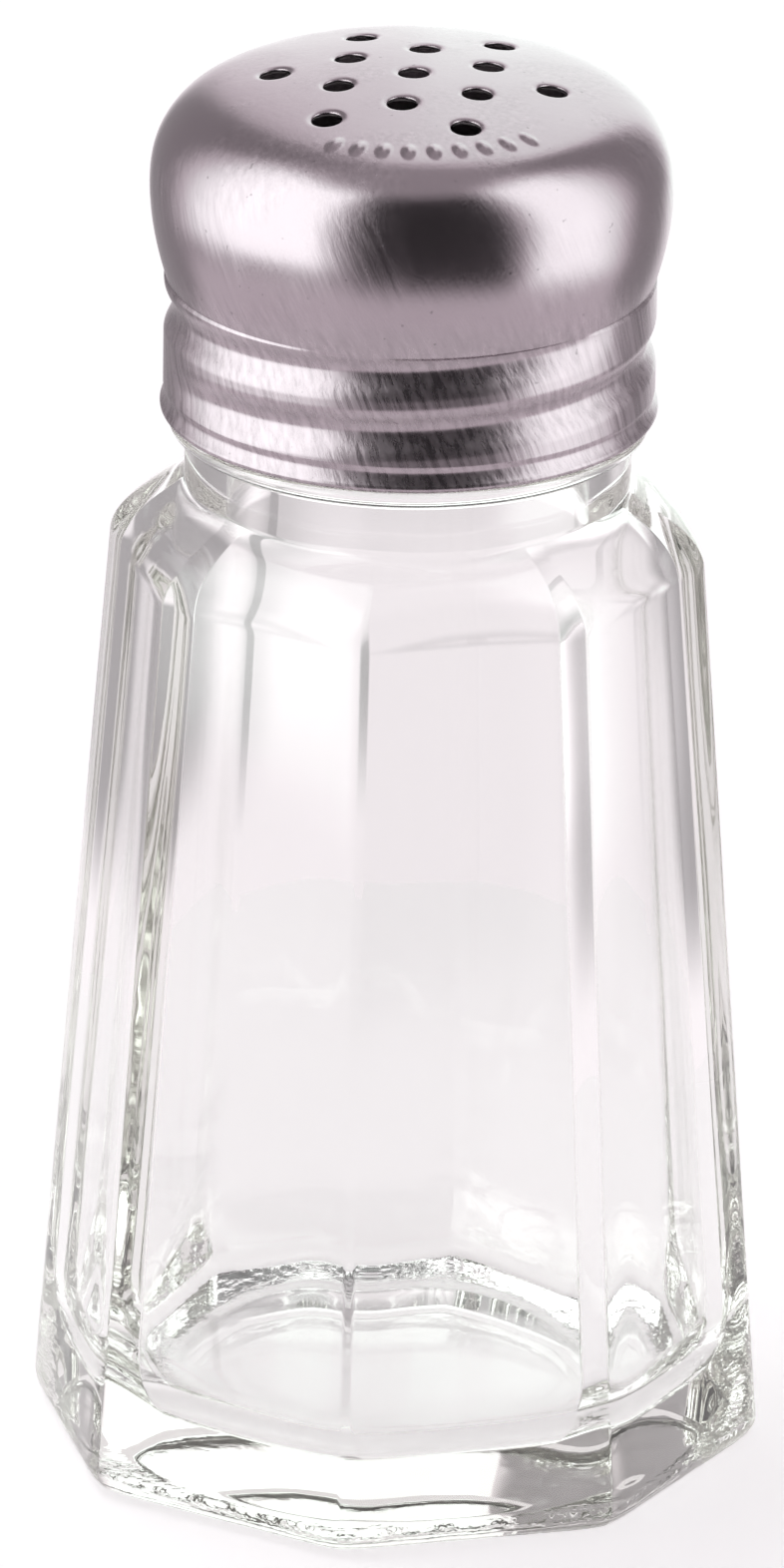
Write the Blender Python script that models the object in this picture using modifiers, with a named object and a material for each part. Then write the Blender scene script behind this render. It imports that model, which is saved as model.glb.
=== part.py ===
"""Glass table shaker: an eight-panelled jar and its one-piece perforated steel screw cap.

Origin: centre of the face that the jar stands on. +Z is up the jar's axis, and one panel faces -Y.
"""

import math

import bmesh
import bpy
from mathutils import Matrix, Vector

MM = 0.001
OBJECT_NAME = "table_shaker"
MERGE = 0.000001
LAP = 2.0 * MM  # how far a cutter runs past the wall that it cuts

# Whole object
HEIGHT = 95.0 * MM

# Jar body: a tapered eight-sided form, rounded into a turned shoulder
PANELS = 8
BASE_RIDGE_R = 24.85 * MM  # axis to ridge at the foot, before the ridges are rounded
TAPER = 0.0762  # radius lost for each unit of height
RIDGE_ROUND = 1.2 * MM
HEEL_ROUND = 1.9 * MM
SHOULDER_SLOPE = 0.371  # drop of the shoulder for each unit of radius
SHOULDER_ROUND = 4.6 * MM

# Jar neck and screw finish
NECK_R = 14.65 * MM
NECK_FOOT_Z = 66.7 * MM
NECK_FILLET = 0.9 * MM
BEAD_R = 15.75 * MM
BEAD_Z = 70.9 * MM
BEAD_HALF = 0.55 * MM
FINISH_R = 14.2 * MM
RIM_Z = 82.4 * MM
RIM_ROUND = 0.8 * MM
MOUTH_R = 11.9 * MM

# Jar hollow: it follows the panels, and narrows to a round mouth
FLOOR_Z = 4.8 * MM
FLOOR_ROUND = 4.0 * MM
WALL = 2.6 * MM
SHOULDER_WALL = 2.2 * MM
INNER_RIDGE_ROUND = 6.0 * MM
BASE_DISH_R = 16.5 * MM
BASE_DISH_DEPTH = 0.8 * MM

# Screw thread, right-handed, shared by the jar and the cap
PITCH = 4.1 * MM
GROOVE_START_Z = 74.9 * MM
GROOVE_START = math.radians(-89.0)  # angle of the groove's lower end, from the front towards +X
GROOVE_TURNS = 1.36
GROOVE_DEPTH = 0.6 * MM
GROOVE_HALF_WIDTH = 1.8 * MM
GROOVE_FADE = math.radians(28.0)
THREAD_CREST_R = 14.85 * MM
THREAD_ROD_R = 0.8 * MM
THREAD_TURNS = 0.95
THREAD_RISE = PITCH / 2  # the jar's thread runs midway between the cap's grooves
THREAD_POINTS_PER_TURN = 28

# Cap
SHEET = 0.35 * MM
CAP_MAX_R = 17.11 * MM
CAP_MAX_Z = 88.09 * MM
CORNER_R = 5.71 * MM
CROWN_R = 60.7 * MM
SKIRT_R = 21.7 * MM
BAND_TOP_Z = 81.0 * MM
BAND_R = 16.12 * MM
BAND_END_Z = 73.5 * MM
HEM_NECK_R = 16.02 * MM
HEM_NECK_Z = 73.1 * MM
HEM_R = 16.3 * MM
HEM_Z = 72.1 * MM
HEM_ROUND = 0.35 * MM
BAND_STEPS = 14

# Pouring holes: one at the centre, and two rings on a triangular lattice
HOLE_R = 1.0 * MM
HOLE_SPACING = 5.25 * MM
HOLE_TURN = math.radians(8.2)
HOLES_IN_RING = 6

# Facets
JAR_STEPS = 44
HOLLOW_STEPS = 28
CAP_STEPS = 48
HOLE_STEPS = 12
ARC_STEPS = 4

GLASS = {"color": (0.93, 0.94, 0.94, 1.0), "roughness": 0.02, "metallic": 0.0, "transmission": 1.0}
STEEL = {"color": (0.62, 0.59, 0.61, 1.0), "roughness": 0.28, "metallic": 1.0, "transmission": 0.0}


def ridge_radius(z):
    """Radius of the body's unrounded ridges at a height."""
    return BASE_RIDGE_R - TAPER * z


def panel_radius(z):
    """Distance from the axis to the middle of a panel at a height."""
    return ridge_radius(z) * math.cos(math.pi / PANELS)


def arc(centre, radius, start_deg, end_deg, steps=ARC_STEPS):
    """Points (radius, height) along an arc; angles are counted from +r towards +z."""
    points = []
    for i in range(steps + 1):
        a = math.radians(start_deg + (end_deg - start_deg) * i / steps)
        points.append((centre[0] + radius * math.cos(a), centre[1] + radius * math.sin(a)))
    return points


def rounded(points, corner_rounds, steps=ARC_STEPS):
    """The open outline with some corners rounded: corner_rounds maps a point's index to its radius."""
    outline = []
    for i, point in enumerate(points):
        if i not in corner_rounds:
            outline.append(point)
            continue
        here = Vector(point)
        back = (Vector(points[i - 1]) - here).normalized()
        ahead = (Vector(points[i + 1]) - here).normalized()
        half = back.angle(ahead) / 2
        reach = corner_rounds[i] / math.tan(half)
        centre = here + (back + ahead).normalized() * corner_rounds[i] / math.sin(half)
        first, last = here + back * reach - centre, here + ahead * reach - centre
        turn = first.angle(last)
        for step in range(steps + 1):
            t = step / steps
            mix = first * math.sin((1 - t) * turn) + last * math.sin(t * turn)
            outline.append(tuple(centre + mix / math.sin(turn)))
    return outline


def new_collection(name):
    collection = bpy.data.collections.new(name)
    bpy.context.scene.collection.children.link(collection)
    return collection


def add_object(name, mesh, collection):
    obj = bpy.data.objects.new(name, mesh)
    collection.objects.link(obj)
    return obj


def as_cutter(obj):
    """A helper shape: drawn as wire, and left out of renders."""
    obj.hide_render = True
    obj.display_type = "WIRE"
    return obj


def turned(name, outline, steps, collection):
    """An object turned about Z from an outline of (radius, height) points, listed from top to bottom."""
    mesh = bpy.data.meshes.new(name)
    verts = [(r, 0.0, z) for r, z in outline]
    mesh.from_pydata(verts, [(i, i + 1) for i in range(len(verts) - 1)], [])
    obj = add_object(name, mesh, collection)
    screw = obj.modifiers.new("turn", "SCREW")
    screw.axis = "Z"
    screw.steps = steps
    screw.render_steps = steps
    screw.use_merge_vertices = True
    screw.merge_threshold = MERGE
    return obj


def evaluated_copy(obj, name):
    """The object's evaluated mesh as a new mesh, with its loose caps welded."""
    graph = bpy.context.evaluated_depsgraph_get()
    mesh = bpy.data.meshes.new_from_object(obj.evaluated_get(graph))
    mesh.name = name
    bm = bmesh.new()
    bm.from_mesh(mesh)
    bmesh.ops.remove_doubles(bm, verts=bm.verts, dist=MERGE)
    bm.to_mesh(mesh)
    bm.free()
    return mesh


def boolean(obj, other, operation):
    modifier = obj.modifiers.new(operation.lower(), "BOOLEAN")
    modifier.operation = operation
    modifier.solver = "EXACT"
    modifier.object = other


def material(name, look):
    mat = bpy.data.materials.new(name)
    mat.use_nodes = True
    shader = mat.node_tree.nodes["Principled BSDF"]
    shader.inputs["Base Color"].default_value = look["color"]
    shader.inputs["Roughness"].default_value = look["roughness"]
    shader.inputs["Metallic"].default_value = look["metallic"]
    shader.inputs["Transmission Weight"].default_value = look["transmission"]
    mat.diffuse_color = look["color"]
    return mat


def shade_round(obj, degrees):
    obj.data.shade_smooth()
    obj.data.set_sharp_from_angle(angle=math.radians(degrees))


def panelled_form(name, foot_z, top_z, wall, ridge_round, heel_round, collection):
    """A tapered eight-sided form, a wall's thickness inside the body's panels, with rounded ridges and heel."""
    inset = wall / math.cos(math.pi / PANELS)
    middle = Matrix.Translation((0, 0, (foot_z + top_z) / 2))
    bm = bmesh.new()
    bmesh.ops.create_cone(
        bm, cap_ends=True, segments=PANELS, depth=top_z - foot_z,
        matrix=Matrix.Rotation(math.pi / PANELS, 4, "Z") @ middle,
        radius1=ridge_radius(foot_z) - inset, radius2=ridge_radius(top_z) - inset,
    )
    ridges = [e for e in bm.edges if abs(e.verts[0].co.z - e.verts[1].co.z) > (top_z - foot_z) / 2]
    bmesh.ops.bevel(
        bm, geom=ridges, affect="EDGES", segments=3, profile=0.5,
        offset=ridge_round * math.tan(math.pi / PANELS),
    )
    heel = [e for e in bm.edges if all(v.co.z < foot_z + MERGE for v in e.verts)]
    bmesh.ops.bevel(bm, geom=heel, affect="EDGES", segments=4, profile=0.5, offset=heel_round)
    mesh = bpy.data.meshes.new(name)
    bm.to_mesh(mesh)
    bm.free()
    return add_object(name, mesh, collection)


def base_dish():
    """Outline of the shallow hollow under the jar, which leaves a flat ring to stand on."""
    ball_r = (BASE_DISH_R**2 + BASE_DISH_DEPTH**2) / (2 * BASE_DISH_DEPTH)
    spread = math.degrees(math.asin(BASE_DISH_R / ball_r))
    outline = arc((0.0, BASE_DISH_DEPTH - ball_r), ball_r, 90 - spread, 90)
    outline[-1] = (0.0, BASE_DISH_DEPTH)
    return outline


def jar_turned_outline():
    """Outline of the turned form that the panels are cut from: finish, bead, neck, shoulder, wall."""
    def shoulder_z(r):
        return NECK_FOOT_Z - SHOULDER_SLOPE * (r - NECK_R)

    # Where the shoulder's slope meets the line of the ridges
    edge_z = (NECK_FOOT_Z - SHOULDER_SLOPE * (BASE_RIDGE_R - NECK_R)) / (1 - SHOULDER_SLOPE * TAPER)
    edge_r = ridge_radius(edge_z)
    bead = arc((BEAD_R - BEAD_HALF, BEAD_Z), BEAD_HALF, 90, -90, 2 * ARC_STEPS)
    finish = rounded([(0.0, RIM_Z), (FINISH_R, RIM_Z), (FINISH_R, bead[0][1])], {1: RIM_ROUND})
    below = [
        (NECK_R, bead[-1][1]),
        (NECK_R, shoulder_z(NECK_R)),
        (edge_r, edge_z),
        (ridge_radius(-LAP), -LAP),
        (BASE_DISH_R, -LAP),
    ]
    return finish + bead + rounded(below, {1: NECK_FILLET, 2: SHOULDER_ROUND}) + base_dish()


def jar_hollow_outline():
    """Outline that the hollow's panels are cut to: mouth, shoulder, then straight down past the floor."""
    edge_r = ridge_radius(FLOOR_Z)
    shoulder_foot_z = NECK_FOOT_Z - SHOULDER_WALL - SHOULDER_SLOPE * (edge_r - NECK_R)
    mouth_z = shoulder_foot_z + SHOULDER_SLOPE * (edge_r - MOUTH_R)
    points = [
        (0.0, RIM_Z + LAP),
        (MOUTH_R + LAP + RIM_ROUND, RIM_Z + LAP),
        (MOUTH_R, RIM_Z - RIM_ROUND),
        (MOUTH_R, mouth_z),
        (edge_r, shoulder_foot_z),
        (edge_r, FLOOR_Z - LAP),
        (0.0, FLOOR_Z - LAP),
    ]
    return rounded(points, {3: SHOULDER_WALL})


def jar_thread(collection):
    """The raised thread on the finish: a rod wound along the helix, half sunk and tapered at its ends."""
    curve = bpy.data.curves.new("thread_path", "CURVE")
    curve.dimensions = "3D"
    curve.bevel_depth = THREAD_ROD_R
    curve.bevel_resolution = 2
    curve.use_fill_caps = True
    count = round(THREAD_TURNS * THREAD_POINTS_PER_TURN)
    spline = curve.splines.new("POLY")
    spline.points.add(count)
    start_z = GROOVE_START_Z + THREAD_RISE
    for i in range(count + 1):
        t = i / count
        angle = GROOVE_START + 2 * math.pi * THREAD_TURNS * t
        fade = min(1.0, 0.35 + 0.65 * min(t, 1 - t) * count / 3)
        r = THREAD_CREST_R - THREAD_ROD_R - (1 - fade) * THREAD_ROD_R
        z = start_z + PITCH * THREAD_TURNS * t
        spline.points[i].co = (r * math.sin(angle), -r * math.cos(angle), z, 1.0)
        spline.points[i].radius = fade
    path = add_object("thread_path", curve, collection)
    rod = add_object("thread_rod", evaluated_copy(path, "thread_rod"), collection)
    rod.matrix_world = path.matrix_world
    bpy.data.objects.remove(path)
    return as_cutter(rod)


def make_jar(parts, cutters):
    top_z = RIM_Z + LAP
    jar = panelled_form("glass_jar", 0.0, top_z, 0.0, RIDGE_ROUND, HEEL_ROUND, parts)
    form = as_cutter(turned("jar_form", jar_turned_outline(), JAR_STEPS, cutters))
    hollow = as_cutter(
        panelled_form("jar_hollow", FLOOR_Z, top_z + LAP, WALL, INNER_RIDGE_ROUND, FLOOR_ROUND, cutters)
    )
    boolean(hollow, as_cutter(turned("hollow_form", jar_hollow_outline(), HOLLOW_STEPS, cutters)), "INTERSECT")
    boolean(jar, form, "INTERSECT")
    boolean(jar, jar_thread(cutters), "UNION")
    boolean(jar, hollow, "DIFFERENCE")
    jar.data.materials.append(material("clear_glass", GLASS))
    shade_round(jar, 30)
    return jar


def cap_outline():
    """Outline of the cap's outer face: crown, corner, skirt, thread band and curled hem."""
    corner = (CAP_MAX_R - CORNER_R, CAP_MAX_Z)
    crown = (0.0, HEIGHT - CROWN_R)
    lean = math.degrees(math.atan2(corner[1] - crown[1], corner[0]))
    skirt = (CAP_MAX_R - SKIRT_R, CAP_MAX_Z)
    skirt_end = math.degrees(math.asin((BAND_TOP_Z - CAP_MAX_Z) / SKIRT_R))
    outline = arc(crown, CROWN_R, 90, lean)
    outline[0] = (0.0, HEIGHT)
    outline += arc(corner, CORNER_R, lean, 0)[1:]
    outline += arc(skirt, SKIRT_R, 0, skirt_end)[1:]
    for i in range(1, BAND_STEPS + 1):
        outline.append((BAND_R, BAND_TOP_Z + (BAND_END_Z - BAND_TOP_Z) * i / BAND_STEPS))
    outline.append((HEM_NECK_R, HEM_NECK_Z))
    return outline + arc((HEM_R - HEM_ROUND, HEM_Z), HEM_ROUND, 40, -60)


def groove_depth(x, y, z):
    """Depth of the rolled thread groove at a point of the band."""
    around = (math.atan2(x, -y) - GROOVE_START) % (2 * math.pi)
    depth = 0.0
    for turn in range(math.ceil(GROOVE_TURNS)):
        along = around + 2 * math.pi * turn
        left = 2 * math.pi * GROOVE_TURNS - along
        off = abs(z - GROOVE_START_Z - PITCH * along / (2 * math.pi))
        if left < 0 or off > GROOVE_HALF_WIDTH:
            continue
        fade = min(1.0, along / GROOVE_FADE, left / GROOVE_FADE)
        depth = max(depth, fade * (1 + math.cos(math.pi * off / GROOVE_HALF_WIDTH)) / 2)
    return GROOVE_DEPTH * depth


def hole_centres():
    """The centre hole, the ring of six around it, and the six in the lattice's next ring."""
    centres = [(0.0, 0.0)]
    for reach, turn in ((HOLE_SPACING, 0.0), (HOLE_SPACING * math.sqrt(3), math.pi / HOLES_IN_RING)):
        for i in range(HOLES_IN_RING):
            a = HOLE_TURN + turn + 2 * math.pi * i / HOLES_IN_RING
            centres.append((reach * math.cos(a), reach * math.sin(a)))
    return centres


def hole_punches(collection):
    bm = bmesh.new()
    for x, y in hole_centres():
        place = Matrix.Translation((x, y, HEIGHT))
        bmesh.ops.create_cone(
            bm, cap_ends=True, segments=HOLE_STEPS, radius1=HOLE_R, radius2=HOLE_R,
            depth=2 * LAP, matrix=place,
        )
    mesh = bpy.data.meshes.new("hole_punches")
    bm.to_mesh(mesh)
    bm.free()
    return as_cutter(add_object("hole_punches", mesh, collection))


def make_cap(parts, cutters):
    blank = turned("cap_blank", cap_outline(), CAP_STEPS, cutters)
    mesh = evaluated_copy(blank, "steel_cap")
    bpy.data.objects.remove(blank)
    for vert in mesh.vertices:
        x, y, z = vert.co
        inward = groove_depth(x, y, z) / max(math.hypot(x, y), SHEET)
        vert.co = (x * (1 - inward), y * (1 - inward), z)
    cap = add_object("steel_cap", mesh, parts)
    sheet = cap.modifiers.new("sheet", "SOLIDIFY")
    sheet.thickness = SHEET
    sheet.offset = -1
    sheet.use_even_offset = True
    boolean(cap, hole_punches(cutters), "DIFFERENCE")
    cap.data.materials.append(material("satin_steel", STEEL))
    shade_round(cap, 40)
    return cap


def main():
    for obj in list(bpy.data.objects):
        bpy.data.objects.remove(obj)
    parts = new_collection(OBJECT_NAME)
    cutters = new_collection("cutters")
    make_jar(parts, cutters)
    make_cap(parts, cutters)


main()
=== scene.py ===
"""A glass table shaker with a perforated steel cap: its finished surfaces, a pale floor and studio light.

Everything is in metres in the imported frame: +Z is the jar's axis and one panel of the jar faces -Y.
"""

import math

import bmesh
import bpy
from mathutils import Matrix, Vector, geometry, noise


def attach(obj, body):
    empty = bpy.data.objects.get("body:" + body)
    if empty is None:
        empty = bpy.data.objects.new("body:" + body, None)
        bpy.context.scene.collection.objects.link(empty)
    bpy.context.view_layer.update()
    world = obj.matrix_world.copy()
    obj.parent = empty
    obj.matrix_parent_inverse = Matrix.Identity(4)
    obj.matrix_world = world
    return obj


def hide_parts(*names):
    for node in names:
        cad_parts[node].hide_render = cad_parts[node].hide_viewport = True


MM = 0.001

# Jar, outside
PANELS = 8
BASE_RIDGE_R = 24.75 * MM  # axis to ridge at the foot, before the ridges are rounded
TAPER = 0.0762
RIDGE_CUT = 0.275 * MM  # how far the rounding takes a ridge back
RIDGE_BLEND = 0.6 * MM
HEEL_ROUND = 1.9 * MM
CONE_TOP_R = 15.0 * MM
CONE_TOP_Z = 66.62 * MM
SHOULDER_SLOPE = 0.371
SHOULDER_BLEND = 8.17 * MM
NECK_R = 14.65 * MM
NECK_BLEND = 1.3 * MM
BEAD_R = 15.72 * MM
BEAD_Z = 71.0 * MM
BEAD_ROUND = 0.5 * MM
FINISH_R = 14.15 * MM
RIM_Z = 82.3 * MM
RIM_ROUND = 0.85 * MM
MOUTH_R = 11.9 * MM
THREAD_HEIGHT = 0.65 * MM
THREAD_HALF_WIDTH = 1.0 * MM
THREAD_TURNS = 0.95

# Jar, inside
WALL = 2.6 * MM
INNER_CORNER = 0.055  # how far the inside follows the panels: 0 is round, 0.08 is fully cornered
INNER_BLEND = 3.5 * MM
INNER_CONE_DROP = 2.2 * MM
INNER_SHOULDER_BLEND = 9.0 * MM
MOUTH_BLEND = 1.5 * MM
FLOOR_Z = 4.2 * MM
FLOOR_ROUND = 6.0 * MM
DISH_R = 16.5 * MM
DISH_DEPTH = 0.8 * MM
WAVE = 0.05 * MM  # unevenness of the inside
WAVE_LENGTH = 9.0 * MM

# Screw thread
PITCH = 4.1 * MM
GROOVE_START_Z = 74.90 * MM
GROOVE_START = math.radians(-89.0)
GROOVE_TURNS = 1.36
GROOVE_DEPTH = 0.6 * MM
GROOVE_HALF_WIDTH = 1.8 * MM
GROOVE_FADE = math.radians(28.0)

# Cap
SHEET = 0.33 * MM
TOP_Z = 94.97 * MM
CAP_MAX_R = 17.16 * MM  # before the easing below takes it in a little
CAP_MAX_Z = 88.09 * MM
CORNER_R = 5.71 * MM
CROWN_R = 60.7 * MM
SKIRT_R = 21.7 * MM
BAND_TOP_Z = 81.0 * MM
BAND_R = 16.1 * MM
HEM_NECK_R = 15.98 * MM
HEM_NECK_Z = 73.05 * MM
HEM_R = 16.3 * MM
HEM_Z = 72.1 * MM
HEM_ROUND = 0.36 * MM
HOLE_R = 0.98 * MM
HOLE_SPACING = 5.25 * MM
HOLE_TURN = math.radians(8.2)
HOLES_IN_RING = 6
LIP_REACH = 0.38 * MM
LIP_DROP = 0.14 * MM
EASE = 1.2 * MM  # how far along its outline each bend of the cap is spread
PROFILE_STEP = 0.1 * MM
CAP_COLUMNS = 240

# Row of short raised ribs on the crown, between two azimuths from the camera
RIB_COUNT = 9
RIB_RING_R = 11.9 * MM
RIB_FIRST = -25.0
RIB_LAST = 39.0
RIB_HALF_LENGTH = 1.05 * MM
RIB_HALF_WIDTH = 0.62 * MM
RIB_HEIGHT = 0.2 * MM
RIB_GRID = 0.1 * MM
RIB_MARGIN = 1.3  # the finely gridded zone's reach past the ribs' ring, in half lengths
RIB_SPILL = 5  # and past the first and last rib, in degrees

# Grid of the crown
CROWN_GRID = 0.3 * MM
HOLE_RINGS = (0, 0.12, 0.28, 0.5, 0.75, 1.05, 1.5)  # reach of each ring round a hole, in lip reaches
HOLE_STEPS = 36
GRID_GAP = 0.12 * MM  # least distance between the last ring round a hole and the grid

# Camera and lights: azimuths are counted from the camera, positive towards the picture's right
CAMERA_AZIMUTH = -14.02
CAMERA_ELEVATION = 21.681
CAMERA_ROLL = 0.835
CAMERA_DISTANCE = 1.4
AIM_Z = 47.5 * MM
SENSOR = 36.0
LENS = 488.6
PICTURE_SHIFT_X = -0.0075
PICTURE_SHIFT_Y = -0.0215
FLOOR_GAP = 0.1 * MM  # film of air under the jar's foot
FLOOR_REACH = 8.0  # from the axis to each side of the floor
FLOOR_GLOW = 0.55
WORLD_STRENGTH = 0.34
KEY_SIZE = (1.2, 1.0)
KEY_PLACE = Vector((-0.5, 0.5, 1.4))
KEY_POWER = 6.0

# Brush lines on the steel
BRUSH_SLANT = 24.0  # radians round the axis for each metre of height
BRUSH_STRETCH = 0.045
BRUSH_SCALE = 2300.0
SCUFF_SLANT = 34.0
SCUFF_STRETCH = 0.06
SCUFF_SCALE = 1700.0
STEEL_RELIEF = 0.022 * MM

# Body and surface of the glass
GLASS_IOR = 1.5
GLASS_ABSORPTION = (0.88, 0.874, 0.86, 1.0)
GLASS_DENSITY = 45.0
GLASS_RELIEF = 0.02 * MM
STIPPLE = 26.0  # height of the texture under the base, against the waves elsewhere


def smooth_min(a, b, blend):
    h = min(1.0, max(0.0, 0.5 + 0.5 * (b - a) / blend))
    return b * (1 - h) + a * h - blend * h * (1 - h)


def smooth_max(a, b, blend):
    return -smooth_min(-a, -b, blend)


def step_between(low, high, x):
    t = min(1.0, max(0.0, (x - low) / (high - low)))
    return t * t * (3 - 2 * t)


# ---------------------------------------------------------------- jar

def panel_angle(phi):
    """Angle from the middle of the nearest panel; phi is counted from -Y towards +X."""
    width = 2 * math.pi / PANELS
    return (phi + width / 2) % width - width / 2


def panelled(phi, ridge_r):
    flat = ridge_r * math.cos(math.pi / PANELS) / math.cos(panel_angle(phi))
    return smooth_min(flat, ridge_r - RIDGE_CUT, RIDGE_BLEND)


def outer_radius(phi, z):
    cone = CONE_TOP_R + (CONE_TOP_Z - z) / SHOULDER_SLOPE
    body = smooth_min(panelled(phi, BASE_RIDGE_R - TAPER * z), cone, SHOULDER_BLEND)
    return smooth_max(body, NECK_R, NECK_BLEND)


def inner_radius(phi, z):
    inside = (BASE_RIDGE_R - TAPER * z) * math.cos(math.pi / PANELS) - WALL
    corner = inside / math.cos(panel_angle(phi))
    wall = smooth_min(corner, inside * (1 + INNER_CORNER), INNER_BLEND)
    cone = CONE_TOP_R + (CONE_TOP_Z - INNER_CONE_DROP - z) / SHOULDER_SLOPE
    return smooth_max(smooth_min(wall, cone, INNER_SHOULDER_BLEND), MOUTH_R, MOUTH_BLEND)


def thread_bump(phi, z):
    """Height of the glass thread on the finish."""
    around = (phi - GROOVE_START) % (2 * math.pi)
    along = around / (2 * math.pi * THREAD_TURNS)
    centre = GROOVE_START_Z + PITCH / 2 + PITCH * around / (2 * math.pi)
    off = abs(z - centre) / THREAD_HALF_WIDTH
    if along > 1 or off > 1:
        return 0.0
    ends = step_between(0, 0.06, along) * step_between(0, 0.06, 1 - along)
    return THREAD_HEIGHT * ends * step_between(0, 0.75, 1 - off)


def jar_columns():
    """Angles round the jar, close together at the ridges."""
    half = 180 / PANELS
    steps = (0, 0.3, 0.6, 0.95, 1.35, 1.8, 2.5, 3.6, 5.2, 7.4, 10, 13, 16, 19.2)
    angles = []
    for panel in range(PANELS):
        ridge = panel * 2 * half + half
        angles += [ridge + s for s in steps] + [ridge + half]
        angles += [ridge + 2 * half - s for s in reversed(steps[1:])]
    return [math.radians(a) for a in angles]


def spread(start, end, steps):
    return [start + (end - start) * i / steps for i in range(steps + 1)]


def jar_rings():
    """Functions from angle to (radius, height), from the middle of the inner floor out to the base."""
    rings = []

    def outside(z, inset=0.0, base=1.0):
        rings.append(lambda phi: (outer_radius(phi, z) * (1 - inset / base), z))

    def turned(r, z):
        rings.append(lambda phi: (r, z))

    def inner_waved(z, inset):
        base = (BASE_RIDGE_R - TAPER * z) * math.cos(math.pi / PANELS) - WALL

        def ring(phi):
            r = inner_radius(phi, z) * (1 - inset / base)
            spot = Vector((math.sin(phi) * r, -math.cos(phi) * r, z * 0.6)) / WAVE_LENGTH
            fade = 1 - step_between(60 * MM, 66 * MM, z)
            return r + WAVE * fade * noise.noise(spot), z
        rings.append(ring)

    floor_r = (BASE_RIDGE_R - TAPER * FLOOR_Z) * math.cos(math.pi / PANELS) - WALL - FLOOR_ROUND
    for share in spread(0.12, 1, 7)[:-1]:
        inner_waved(FLOOR_Z, floor_r + FLOOR_ROUND - floor_r * share)
    for a in spread(90, 0, 16):
        a = math.radians(a)
        inner_waved(FLOOR_Z + FLOOR_ROUND * (1 - math.sin(a)), FLOOR_ROUND * (1 - math.cos(a)))
    for z in spread(FLOOR_Z + FLOOR_ROUND, 54 * MM, 12)[1:]:
        inner_waved(z, 0.0)
    for z in spread(54 * MM, 66 * MM, 60)[1:]:
        inner_waved(z, 0.0)
    for z in spread(66 * MM, RIM_Z - RIM_ROUND, 10)[1:]:
        turned(MOUTH_R, z)
    for a in spread(180, 0, 12)[1:-1]:
        a = math.radians(a)
        side = MOUTH_R + RIM_ROUND if a > math.pi / 2 else FINISH_R - RIM_ROUND
        turned(side + RIM_ROUND * math.cos(a), RIM_Z - RIM_ROUND * (1 - math.sin(a)))
    bead_top = BEAD_Z + BEAD_ROUND
    for z in spread(RIM_Z - RIM_ROUND, bead_top, 64):
        rings.append(lambda phi, z=z: (FINISH_R + thread_bump(phi, z), z))
    for a in spread(90, -90, 12):
        a = math.radians(a)
        turned(BEAD_R - BEAD_ROUND + BEAD_ROUND * math.cos(a), BEAD_Z + BEAD_ROUND * math.sin(a))
    turned(NECK_R + 0.15 * MM, BEAD_Z - BEAD_ROUND - 0.04 * MM)
    turned(NECK_R, BEAD_Z - BEAD_ROUND - 0.25 * MM)
    for z in spread(70 * MM, 67.3 * MM, 4):
        turned(NECK_R, z)
    for z in spread(67.3 * MM, 65.7 * MM, 26)[1:] + spread(65.7 * MM, 60.5 * MM, 34)[1:]:
        outside(z)
    for z in spread(60.5 * MM, HEEL_ROUND, 14)[1:]:
        outside(z)
    panel_r = (BASE_RIDGE_R - TAPER * HEEL_ROUND) * math.cos(math.pi / PANELS)
    for a in spread(0, 90, 12)[1:]:
        a = math.radians(a)
        z = HEEL_ROUND * (1 - math.sin(a))
        outside(z, HEEL_ROUND * (1 - math.cos(a)), panel_r)
    turned(DISH_R, 0.0)
    for share in spread(1, 0.1, 10)[1:]:
        turned(DISH_R * share, DISH_DEPTH * (1 - share * share))
    return rings


def ring_of_verts(bm, ring, columns):
    verts = []
    for phi in columns:
        r, z = ring(phi)
        verts.append(bm.verts.new((r * math.sin(phi), -r * math.cos(phi), z)))
    return verts


def bridge(bm, loops):
    """Quads between each closed loop of vertices and the next."""
    for near, far in zip(loops, loops[1:]):
        for i in range(len(near)):
            j = (i + 1) % len(near)
            bm.faces.new((near[i], far[i], far[j], near[j]))


def loft(name, rings, columns, start, end):
    """A closed mesh through the rings, with a fan round a middle vertex at each end."""
    bm = bmesh.new()
    loops = [ring_of_verts(bm, ring, columns) for ring in rings]
    bridge(bm, loops)
    count = len(columns)
    for middle, loop, flip in ((start, loops[0], False), (end, loops[-1], True)):
        centre = bm.verts.new((0, 0, middle))
        for i in range(count):
            face = (loop[i], loop[(i + 1) % count], centre)
            bm.faces.new(face[::-1] if flip else face)
    bmesh.ops.recalc_face_normals(bm, faces=bm.faces)
    mesh = bpy.data.meshes.new(name)
    bm.to_mesh(mesh)
    bm.free()
    mesh.shade_smooth()
    return mesh


def make_jar():
    mesh = loft("jar_glass", jar_rings(), jar_columns(), FLOOR_Z, DISH_DEPTH)
    jar = bpy.data.objects.new("jar_glass", mesh)
    bpy.context.scene.collection.objects.link(jar)
    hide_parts("glass_jar")
    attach(jar, "jar")
    jar.data.materials.append(glass_material())
    return jar


# ---------------------------------------------------------------- cap

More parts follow.
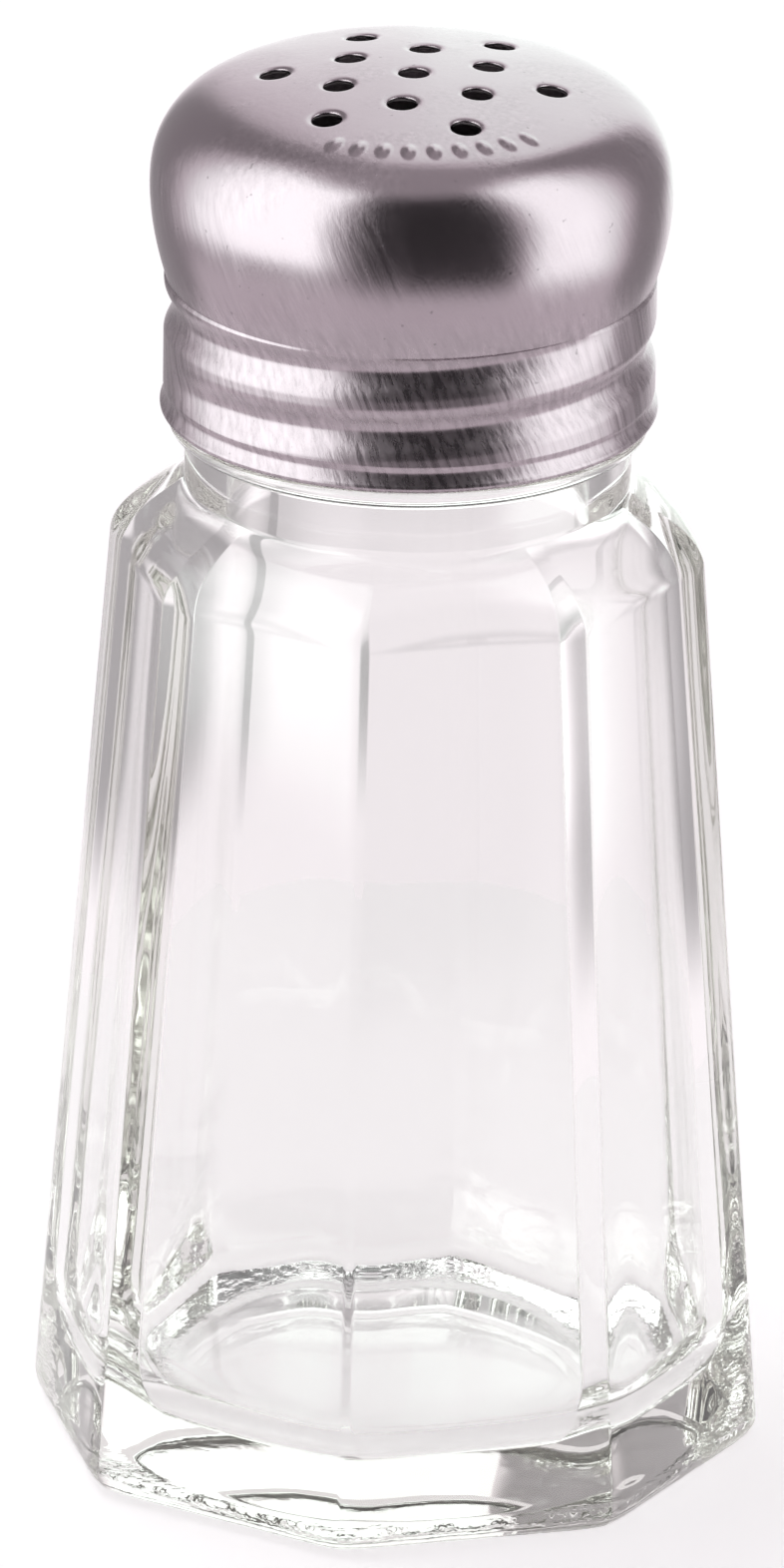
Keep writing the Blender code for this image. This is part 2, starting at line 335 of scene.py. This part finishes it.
def eased(points):
    """The outline with its bends spread out, except near its last point; it starts square to the axis."""
    reach = round(3 * EASE / PROFILE_STEP)
    weights = [math.exp(-0.5 * (k * PROFILE_STEP / EASE) ** 2) for k in range(-reach, reach + 1)]
    mirrored = [(-r, z) for r, z in points[reach:0:-1]] + points
    outline = []
    for i, (r, z) in enumerate(points):
        near = mirrored[i:i + 2 * reach + 1]
        share = step_between(0, reach, len(points) - 1 - i - reach) if len(near) == len(weights) else 0.0
        mean_r = sum(w * p[0] for w, p in zip(weights, near)) / sum(weights)
        mean_z = sum(w * p[1] for w, p in zip(weights, near)) / sum(weights)
        outline.append((r + share * (mean_r - r), z + share * (mean_z - z)))
    return outline


def cap_profile():
    """The cap's outline, as (radius, height) points from the middle of the crown down to the thread band."""
    lean = math.atan2(CAP_MAX_Z - (TOP_Z - CROWN_R), CAP_MAX_R - CORNER_R)
    skirt_end = math.asin((BAND_TOP_Z - CAP_MAX_Z) / SKIRT_R)
    arcs = (
        (0.0, TOP_Z - CROWN_R, CROWN_R, math.pi / 2, lean),
        (CAP_MAX_R - CORNER_R, CAP_MAX_Z, CORNER_R, lean, 0.0),
        (CAP_MAX_R - SKIRT_R, CAP_MAX_Z, SKIRT_R, 0.0, skirt_end),
    )
    points = [(0.0, TOP_Z)]
    for centre_r, centre_z, radius, start, end in arcs:
        steps = round(radius * (start - end) / PROFILE_STEP)
        for a in spread(start, end, steps)[1:]:
            points.append((centre_r + radius * math.cos(a), centre_z + radius * math.sin(a)))
    return eased(points)


def height_at(profile, r):
    """Height of the crown at a radius."""
    for (near_r, near_z), (far_r, far_z) in zip(profile, profile[1:]):
        if r <= far_r:
            return near_z + (far_z - near_z) * (r - near_r) / (far_r - near_r)
    return profile[-1][1]


def rib_places():
    """Middle of each rib and its direction out from the axis."""
    places = []
    for azimuth in spread(RIB_FIRST, RIB_LAST, RIB_COUNT - 1):
        a = math.radians(azimuth + CAMERA_AZIMUTH)
        out = Vector((math.sin(a), -math.cos(a)))
        places.append((out * RIB_RING_R, out))
    return places


def hole_centres():
    centres = [Vector((0.0, 0.0))]
    for reach, turn in ((HOLE_SPACING, 0.0), (HOLE_SPACING * math.sqrt(3), math.pi / HOLES_IN_RING)):
        for i in range(HOLES_IN_RING):
            a = HOLE_TURN + turn + 2 * math.pi * i / HOLES_IN_RING
            centres.append(Vector((math.cos(a), math.sin(a))) * reach)
    return centres


def groove_depth(phi, z):
    around = (phi - GROOVE_START) % (2 * math.pi)
    depth = 0.0
    for turn in range(math.ceil(GROOVE_TURNS)):
        along = around + 2 * math.pi * turn
        left = 2 * math.pi * GROOVE_TURNS - along
        off = abs(z - GROOVE_START_Z - PITCH * along / (2 * math.pi))
        if left < 0 or off > GROOVE_HALF_WIDTH:
            continue
        fade = min(1.0, along / GROOVE_FADE, left / GROOVE_FADE)
        depth = max(depth, fade * (1 + math.cos(math.pi * off / GROOVE_HALF_WIDTH)) / 2)
    return GROOVE_DEPTH * depth


def cap_rings(outline):
    """Rings, from angle to (radius, height): down the outline below the crown, then to the curled hem."""
    rings = [lambda phi, point=point: point for point in outline]

    def arc(centre_r, centre_z, radius, start, end, steps):
        for a in spread(start, end, steps)[1:]:
            rings.append(lambda phi, a=a: (centre_r + radius * math.cos(a), centre_z + radius * math.sin(a)))

    band_end = HEM_NECK_Z + 0.4 * MM
    for z in spread(BAND_TOP_Z, band_end, 70)[1:]:
        rings.append(lambda phi, z=z: (BAND_R - groove_depth(phi, z), z))
    rings.append(lambda phi: (HEM_NECK_R + 0.03 * MM, HEM_NECK_Z + 0.2 * MM))
    rings.append(lambda phi: (HEM_NECK_R, HEM_NECK_Z))
    rings.append(lambda phi: (HEM_NECK_R + 0.03 * MM, HEM_NECK_Z - 0.2 * MM))
    arc(HEM_R - HEM_ROUND, HEM_Z, HEM_ROUND, math.radians(60), math.radians(-100), 12)
    return rings


def in_rib_zone(spot):
    """Whether a place on the crown lies in the part that holds the ribs."""
    azimuth = math.degrees(math.atan2(spot.x, -spot.y)) - CAMERA_AZIMUTH
    near_ring = abs(spot.length - RIB_RING_R) < RIB_MARGIN * RIB_HALF_LENGTH
    return near_ring and RIB_FIRST - RIB_SPILL < azimuth < RIB_LAST + RIB_SPILL


def rib_grid():
    """Closely spaced places over the part of the crown that holds the ribs."""
    margin = RIB_MARGIN * RIB_HALF_LENGTH
    rows = round(2 * margin / RIB_GRID)
    columns = round(math.radians(RIB_LAST - RIB_FIRST + 2 * RIB_SPILL) * RIB_RING_R / RIB_GRID)
    places = []
    for r in spread(RIB_RING_R - margin, RIB_RING_R + margin, rows):
        for azimuth in spread(RIB_FIRST - RIB_SPILL, RIB_LAST + RIB_SPILL, columns):
            a = math.radians(azimuth + CAMERA_AZIMUTH)
            places.append(Vector((math.sin(a), -math.cos(a))) * r)
    return places


def crown_points(edge_r):
    """Points over the crown for a triangulation: its edge, rings round each hole, and grids between."""
    edge, rings, grid = [], [], rib_grid()
    for i in range(CAP_COLUMNS):
        a = 2 * math.pi * i / CAP_COLUMNS
        edge.append(Vector((math.sin(a), -math.cos(a))) * edge_r)
    around_hole = [HOLE_R + LIP_REACH * share for share in HOLE_RINGS]
    centres = hole_centres()
    for centre in centres:
        for k, reach in enumerate(around_hole):
            for i in range(HOLE_STEPS):
                a = 2 * math.pi * (i + 0.5 * (k % 2)) / HOLE_STEPS
                rings.append(centre + Vector((math.cos(a), math.sin(a))) * reach)
    clear = around_hole[-1] + GRID_GAP
    rows = math.ceil(edge_r / (CROWN_GRID * math.sqrt(0.75)))
    for row in range(-rows, rows + 1):
        for col in range(-rows - 1, rows + 2):
            spot = Vector(((col + 0.5 * (row % 2)) * CROWN_GRID, row * CROWN_GRID * math.sqrt(0.75)))
            if spot.length < edge_r - 0.2 * MM and not in_rib_zone(spot):
                grid.append(spot)
    return edge + rings + [p for p in grid if all((p - c).length > clear for c in centres)]


def crown_surface(x, y, profile, centres, ribs):
    z = height_at(profile, math.hypot(x, y))
    spot = Vector((x, y))
    for middle, out in ribs:
        off = spot - middle
        reach = math.hypot(off.dot(out) / RIB_HALF_LENGTH, off.cross(out) / RIB_HALF_WIDTH)
        z += RIB_HEIGHT * (1 - min(1.0, reach) ** 2) ** 2
    for centre in centres:
        near = (spot - centre).length - HOLE_R
        if near < LIP_REACH:
            z -= LIP_DROP * (1 - max(0.0, near) / LIP_REACH) ** 2
    return z


def make_cap():
    profile = cap_profile()
    edge = next(i for i, (r, _) in enumerate(profile) if r > RIB_RING_R + 1.6 * RIB_HALF_LENGTH)
    centres, ribs = hole_centres(), rib_places()
    flat = crown_points(profile[edge][0])
    flat_out, _, faces, *_ = geometry.delaunay_2d_cdt(flat, [], [], 0, 1e-9)
    bm = bmesh.new()
    verts = [bm.verts.new((p.x, p.y, crown_surface(p.x, p.y, profile, centres, ribs))) for p in flat_out]
    for face in faces:
        middle = sum((flat_out[i] for i in face), Vector((0, 0))) / len(face)
        if all((middle - c).length > HOLE_R * 0.995 for c in centres):
            bm.faces.new([verts[i] for i in face])
    columns = [2 * math.pi * i / CAP_COLUMNS for i in range(CAP_COLUMNS)]
    below = [ring_of_verts(bm, ring, columns) for ring in cap_rings(profile[edge + 1:])]
    bridge(bm, [verts[:CAP_COLUMNS]] + below)
    bmesh.ops.delete(bm, geom=[v for v in bm.verts if not v.link_faces], context="VERTS")
    bmesh.ops.recalc_face_normals(bm, faces=bm.faces)
    mesh = bpy.data.meshes.new("cap_steel")
    bm.to_mesh(mesh)
    bm.free()
    mesh.shade_smooth()
    cap = bpy.data.objects.new("cap_steel", mesh)
    bpy.context.scene.collection.objects.link(cap)
    sheet = cap.modifiers.new("sheet", "SOLIDIFY")
    sheet.thickness = SHEET
    sheet.offset = -1
    sheet.use_even_offset = True
    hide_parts("steel_cap")
    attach(cap, "cap")
    cap.data.materials.append(steel_material())
    return cap


# ---------------------------------------------------------------- materials

class Nodes:
    """Short calls for building a material's nodes."""

    def __init__(self, name):
        self.material = bpy.data.materials.new(name)
        self.material.use_nodes = True
        self.tree = self.material.node_tree
        self.shader = self.tree.nodes["Principled BSDF"]
        self.output = self.tree.nodes["Material Output"]

    def add(self, kind, **settings):
        node = self.tree.nodes.new(kind)
        for key, value in settings.items():
            setattr(node, key, value)
        return node

    def link(self, out, into):
        self.tree.links.new(out, into)

    def math(self, operation, a, b=None):
        node = self.add("ShaderNodeMath", operation=operation)
        for socket, value in zip(node.inputs, (a, b)):
            if value is None:
                continue
            if isinstance(value, (int, float)):
                socket.default_value = value
            else:
                self.link(value, socket)
        return node.outputs[0]

    def smooth_step(self, value, low, high):
        node = self.add("ShaderNodeMapRange", interpolation_type="SMOOTHSTEP")
        node.inputs["From Min"].default_value = low
        node.inputs["From Max"].default_value = high
        self.link(value, node.inputs["Value"])
        return node.outputs["Result"]

    def window(self, value, low, high, soft_low, soft_high):
        """1 between low and high, and 0 outside, with soft edges."""
        rise = self.smooth_step(value, low - soft_low, low + soft_low)
        fall = self.smooth_step(value, high - soft_high, high + soft_high)
        return self.math("SUBTRACT", rise, fall)

    def mix(self, factor, low, high):
        """Number between low and high, either of which may be a socket."""
        node = self.add("ShaderNodeMix", data_type="FLOAT")
        self.link(factor, node.inputs[0])
        for socket, value in zip(node.inputs[2:4], (low, high)):
            if isinstance(value, (int, float)):
                socket.default_value = value
            else:
                self.link(value, socket)
        return node.outputs[0]

    def noise(self, vector, scale, detail=4.0, roughness=0.5):
        node = self.add("ShaderNodeTexNoise")
        node.inputs["Scale"].default_value = scale
        node.inputs["Detail"].default_value = detail
        node.inputs["Roughness"].default_value = roughness
        self.link(vector, node.inputs["Vector"])
        return node.outputs["Fac"]

    def brushed(self, where, height, slant, stretch, scale):
        """Noise drawn out into lines up the axis, which turn round it by slant radians a metre."""
        turn = self.add("ShaderNodeVectorRotate", rotation_type="Z_AXIS")
        self.link(where, turn.inputs["Vector"])
        self.link(self.math("MULTIPLY", height, slant), turn.inputs["Angle"])
        drawn = self.add("ShaderNodeVectorMath", operation="MULTIPLY")
        self.link(turn.outputs["Vector"], drawn.inputs[0])
        drawn.inputs[1].default_value = (1, 1, stretch)
        return self.noise(drawn.outputs["Vector"], scale, 3.0, 0.6)

    def ramp(self, factor, low, high):
        """Maps 0..1 noise, stretched about its middle, to a number between low and high."""
        node = self.add("ShaderNodeMapRange")
        node.inputs["From Min"].default_value = 0.3
        node.inputs["From Max"].default_value = 0.7
        node.inputs["To Min"].default_value = low
        node.inputs["To Max"].default_value = high
        self.link(factor, node.inputs["Value"])
        return node.outputs["Result"]

    def blend(self, factor, low, high):
        node = self.add("ShaderNodeMix", data_type="RGBA")
        self.link(factor, node.inputs["Factor"])
        ends = [socket for socket in node.inputs if socket.type == "RGBA"]
        ends[0].default_value = (*low, 1.0)
        ends[1].default_value = (*high, 1.0)
        return next(socket for socket in node.outputs if socket.type == "RGBA")


def glass_material():
    n = Nodes("clear_glass")
    where = n.add("ShaderNodeTexCoord").outputs["Object"]
    smear = n.noise(where, 90.0, 3.0)
    n.link(n.blend(smear, (0.94, 0.938, 0.938), (0.955, 0.952, 0.952)), n.shader.inputs["Base Color"])
    n.link(n.ramp(n.noise(where, 260.0, 4.0), 0.0, 0.02), n.shader.inputs["Roughness"])
    n.shader.inputs["Transmission Weight"].default_value = 1.0
    n.shader.inputs["IOR"].default_value = GLASS_IOR

    # A pressed texture on the ring that the jar stands on, and faint waves everywhere
    parts = n.add("ShaderNodeSeparateXYZ")
    n.link(where, parts.inputs["Vector"])
    x, y, z = parts.outputs
    from_axis = n.math("SQRT", n.math("ADD", n.math("MULTIPLY", x, x), n.math("MULTIPLY", y, y)))
    ring = n.math("SUBTRACT", 1.0, n.smooth_step(z, 0.4 * MM, 2.4 * MM))
    ring = n.math("MULTIPLY", ring, n.smooth_step(from_axis, DISH_R - 1 * MM, DISH_R + 1 * MM))
    stipple = n.math("MULTIPLY", ring, n.math("MULTIPLY", n.noise(where, 420.0, 3.0), STIPPLE))
    bump = n.add("ShaderNodeBump")
    bump.inputs["Strength"].default_value = 0.3
    bump.inputs["Distance"].default_value = GLASS_RELIEF
    n.link(n.math("ADD", n.noise(where, 140.0, 2.0), stipple), bump.inputs["Height"])
    n.link(bump.outputs["Normal"], n.shader.inputs["Normal"])
    absorb = n.add("ShaderNodeVolumeAbsorption")
    absorb.inputs["Color"].default_value = GLASS_ABSORPTION
    absorb.inputs["Density"].default_value = GLASS_DENSITY
    n.link(absorb.outputs["Volume"], n.output.inputs["Volume"])
    return n.material


def steel_material():
    n = Nodes("satin_steel")
    coordinates = n.add("ShaderNodeTexCoord")
    where = coordinates.outputs["Object"]
    parts = n.add("ShaderNodeSeparateXYZ")
    n.link(where, parts.inputs["Vector"])
    height = parts.outputs[2]

    # Brush lines: noise drawn out along the height, and wound a little round the axis
    brush = n.brushed(where, height, BRUSH_SLANT, BRUSH_STRETCH, BRUSH_SCALE)
    scuffs = n.brushed(where, height, SCUFF_SLANT, SCUFF_STRETCH, SCUFF_SCALE)
    low = n.math("SUBTRACT", 1.0, n.smooth_step(height, 79.5 * MM, 85.0 * MM))
    patches = n.smooth_step(n.noise(where, 150.0, 2.0), 0.45, 0.6)
    worn = n.math("MAXIMUM", low, n.math("MULTIPLY", patches, 0.5))
    grain = n.noise(where, 5200.0, 2.0)
    pits = n.smooth_step(n.noise(where, 1900.0, 1.0), 0.74, 0.8)

    # The inside of the sheet is rougher, and its colour is darkened to 0.22 of the outside's as painted shade
    # inside the cap
    from_middle = n.add("ShaderNodeVectorMath", operation="SUBTRACT")
    n.link(where, from_middle.inputs[0])
    from_middle.inputs[1].default_value = (0, 0, BAND_TOP_Z)
    facing = n.add("ShaderNodeVectorMath", operation="DOT_PRODUCT")
    n.link(from_middle.outputs["Vector"], facing.inputs[0])
    n.link(coordinates.outputs["Normal"], facing.inputs[1])
    outside = n.smooth_step(facing.outputs["Value"], -1 * MM, 1 * MM)

    blotch = n.noise(where, 260.0, 3.0)
    tint = n.blend(blotch, (0.345, 0.292, 0.322), (0.38, 0.326, 0.356))
    lines = n.mix(worn, 1.0, n.ramp(brush, 0.8, 1.18))
    shade = n.math("MULTIPLY", lines, n.math("SUBTRACT", 1.0, n.math("MULTIPLY", pits, 0.3)))
    # painted shade: the colour of the sheet's inner face is cut to 0.22
    shade = n.math("MULTIPLY", shade, n.mix(outside, 0.22, 1.0))
    colour = n.add("ShaderNodeVectorMath", operation="SCALE")
    n.link(tint, colour.inputs[0])
    n.link(shade, colour.inputs["Scale"])
    n.link(colour.outputs["Vector"], n.shader.inputs["Base Color"])
    rough = n.mix(worn, n.ramp(grain, 0.17, 0.23), n.ramp(brush, 0.22, 0.34))
    n.link(n.mix(outside, 0.5, rough), n.shader.inputs["Roughness"])
    n.shader.inputs["Metallic"].default_value = 1.0
    brushed = n.math("ADD", brush, n.math("MULTIPLY", scuffs, 0.35))
    relief = n.mix(worn, n.math("MULTIPLY", scuffs, 0.3), brushed)
    relief = n.math("ADD", relief, n.math("MULTIPLY", grain, 0.07))
    bump = n.add("ShaderNodeBump")
    bump.inputs["Strength"].default_value = 1.0
    bump.inputs["Distance"].default_value = STEEL_RELIEF
    n.link(relief, bump.inputs["Height"])
    n.link(bump.outputs["Normal"], n.shader.inputs["Normal"])
    return n.material


# ---------------------------------------------------------------- stage

def towards(azimuth, elevation, distance):
    """A place at an azimuth from the camera's, an elevation and a distance from the jar's axis."""
    a, e = math.radians(azimuth + CAMERA_AZIMUTH), math.radians(elevation)
    return Vector((math.sin(a) * math.cos(e), -math.cos(a) * math.cos(e), math.sin(e))) * distance


def make_floor():
    """A pale floor that glows a little, as a light table does."""
    mesh = bpy.data.meshes.new("floor")
    corners = [(x * FLOOR_REACH, y * FLOOR_REACH) for x, y in ((-1, -1), (1, -1), (1, 1), (-1, 1))]
    mesh.from_pydata([(x, y, -FLOOR_GAP) for x, y in corners], [], [(0, 1, 2, 3)])
    floor = bpy.data.objects.new("floor", mesh)
    bpy.context.scene.collection.objects.link(floor)
    n = Nodes("pale_floor")
    where = n.add("ShaderNodeTexCoord").outputs["Object"]
    n.link(n.blend(n.noise(where, 3.0), (0.88, 0.88, 0.88), (0.9, 0.9, 0.9)), n.shader.inputs["Base Color"])
    n.shader.inputs["Roughness"].default_value = 0.9
    n.shader.inputs["Specular IOR Level"].default_value = 0.0
    n.shader.inputs["Emission Color"].default_value = (*Tent.WALL_COLOUR, 1.0)
    n.shader.inputs["Emission Strength"].default_value = FLOOR_GLOW
    mesh.materials.append(n.material)


class Tent:
    """What reflections and the glass see: radiance by azimuth and elevation round the shaker."""
    RADIUS = 0.35
    CENTRE_Z = 0.06
    FOOT_R = 0.095  # nearer than this the floor itself is seen
    FOOT_Z = 0.001
    FLOOR = 1.05
    BASE = 0.58
    CEILING = 0.6
    TOP = (56, 74)  # elevations between which the walls give way to the ceiling
    FOOT = (-22, -15)  # and those between which the floor gives way to the bare wall
    # first and last azimuth with the softness of each edge, then the elevations of the foot, and the radiance
    PANELS = (
        (-168, 8, -116, 10, -29, -23, 0.42),
        (106, 8, 146, 8, -29, -23, 0.42),
        (-108, 24, -35, 6, -17, -13, 3.0),
        (-24, 5, 44, 5, -23, -16, 0.05),
        (54, 8, 100, 18, -22, -17, 2.7),
        (147, 8, 195, 5, -20, -12, 1.75),
        (-195, 5, -167, 9, -20, -12, 1.5),
    )
    WALL_COLOUR = (1.03, 0.975, 1.005)
    PANEL_COLOUR = (0.955, 1.03, 0.99)


def make_tent():
    """A camera-blind tent with soft bright panels left, right and behind, and a dark front."""
    columns = [2 * math.pi * i / 96 for i in range(96)]
    start = -math.asin(Tent.CENTRE_Z / Tent.RADIUS)
    outline = [(Tent.FOOT_R, Tent.FOOT_Z)]
    for e in spread(start, math.pi / 2 - 0.01, 40):
        outline.append((Tent.RADIUS * math.cos(e), Tent.CENTRE_Z + Tent.RADIUS * math.sin(e) + Tent.FOOT_Z))
    bm = bmesh.new()
    loops = [ring_of_verts(bm, lambda phi, p=p: p, columns) for p in outline]
    bridge(bm, loops)
    bm.faces.new(loops[-1])
    mesh = bpy.data.meshes.new("tent")
    bm.to_mesh(mesh)
    bm.free()
    tent = bpy.data.objects.new("tent", mesh)
    tent.rotation_euler.z = math.radians(CAMERA_AZIMUTH)
    bpy.context.scene.collection.objects.link(tent)
    for kind in ("camera", "diffuse", "shadow", "volume_scatter"):
        setattr(tent, "visible_" + kind, False)
    mesh.materials.append(tent_material())


def tent_material():
    n = Nodes("tent")
    n.tree.nodes.remove(n.shader)
    place = n.add("ShaderNodeVectorMath", operation="SUBTRACT")
    n.link(n.add("ShaderNodeTexCoord").outputs["Object"], place.inputs[0])
    place.inputs[1].default_value = (0, 0, Tent.CENTRE_Z)
    aim = n.add("ShaderNodeVectorMath", operation="NORMALIZE")
    n.link(place.outputs["Vector"], aim.inputs[0])
    parts = n.add("ShaderNodeSeparateXYZ")
    n.link(aim.outputs["Vector"], parts.inputs["Vector"])
    x, y, z = parts.outputs
    azimuth = n.math("DEGREES", n.math("ARCTAN2", x, n.math("MULTIPLY", y, -1.0)))
    elevation = n.math("DEGREES", n.math("ARCSINE", z))
    radiance = n.mix(n.smooth_step(elevation, *Tent.FOOT), Tent.FLOOR, Tent.BASE)
    for first, soft_first, last, soft_last, foot_low, foot_high, level in Tent.PANELS:
        across = n.window(azimuth, first, last, soft_first, soft_last)
        inside = n.math("MULTIPLY", across, n.smooth_step(elevation, foot_low, foot_high))
        radiance = n.mix(inside, radiance, level)
    radiance = n.mix(n.smooth_step(elevation, *Tent.TOP), radiance, Tent.CEILING)
    bright = n.smooth_step(radiance, 1.1, 1.8)
    glow = n.add("ShaderNodeEmission")
    n.link(n.blend(bright, Tent.WALL_COLOUR, Tent.PANEL_COLOUR), glow.inputs["Color"])
    n.link(radiance, glow.inputs["Strength"])
    n.link(glow.outputs["Emission"], n.output.inputs["Surface"])
    n.material.cycles.emission_sampling = "NONE"
    return n.material


def make_key_light():
    """A broad soft light overhead for matt surfaces only: steel and glass are lit by the tent."""
    data = bpy.data.lights.new("key", "AREA")
    data.shape = "RECTANGLE"
    data.size, data.size_y = KEY_SIZE
    data.energy = KEY_POWER
    light = bpy.data.objects.new("key", data)
    bpy.context.scene.collection.objects.link(light)
    light.location = KEY_PLACE
    light.rotation_euler = (-KEY_PLACE).to_track_quat("-Z", "Y").to_euler()
    for kind in ("camera", "glossy", "transmission"):
        setattr(light, "visible_" + kind, False)


def make_world():
    """An even white sky, which steel and glass don't see either."""
    world = bpy.data.worlds.new("studio")
    bpy.context.scene.world = world
    world.use_nodes = True
    background = world.node_tree.nodes["Background"]
    background.inputs["Color"].default_value = (1.0, 0.99, 1.0, 1.0)
    background.inputs["Strength"].default_value = WORLD_STRENGTH
    world.cycles_visibility.glossy = False
    world.cycles_visibility.transmission = False


def make_camera():
    data = bpy.data.cameras.new("camera")
    data.sensor_width = SENSOR
    data.lens = LENS
    data.shift_x, data.shift_y = PICTURE_SHIFT_X, PICTURE_SHIFT_Y
    camera = bpy.data.objects.new("camera", data)
    bpy.context.scene.collection.objects.link(camera)
    aim = Vector((0, 0, AIM_Z))
    camera.location = aim + towards(0, CAMERA_ELEVATION, CAMERA_DISTANCE)
    camera.rotation_euler = (aim - camera.location).to_track_quat("-Z", "Y").to_euler()
    camera.rotation_euler.rotate_axis("Z", math.radians(CAMERA_ROLL))
    bpy.context.scene.camera = camera


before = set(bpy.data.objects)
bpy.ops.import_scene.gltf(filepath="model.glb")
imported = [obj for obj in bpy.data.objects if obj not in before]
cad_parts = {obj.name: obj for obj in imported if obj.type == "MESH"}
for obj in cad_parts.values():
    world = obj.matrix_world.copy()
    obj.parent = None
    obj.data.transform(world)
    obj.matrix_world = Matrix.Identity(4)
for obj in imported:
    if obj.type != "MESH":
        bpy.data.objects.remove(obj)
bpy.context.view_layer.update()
bpy.context.scene.view_settings.view_transform = "Standard"
light_paths = bpy.context.scene.cycles
light_paths.max_bounces = light_paths.transmission_bounces = 32
light_paths.glossy_bounces = 24
make_jar()
make_cap()
make_floor()
make_world()
make_tent()
make_key_light()
make_camera()
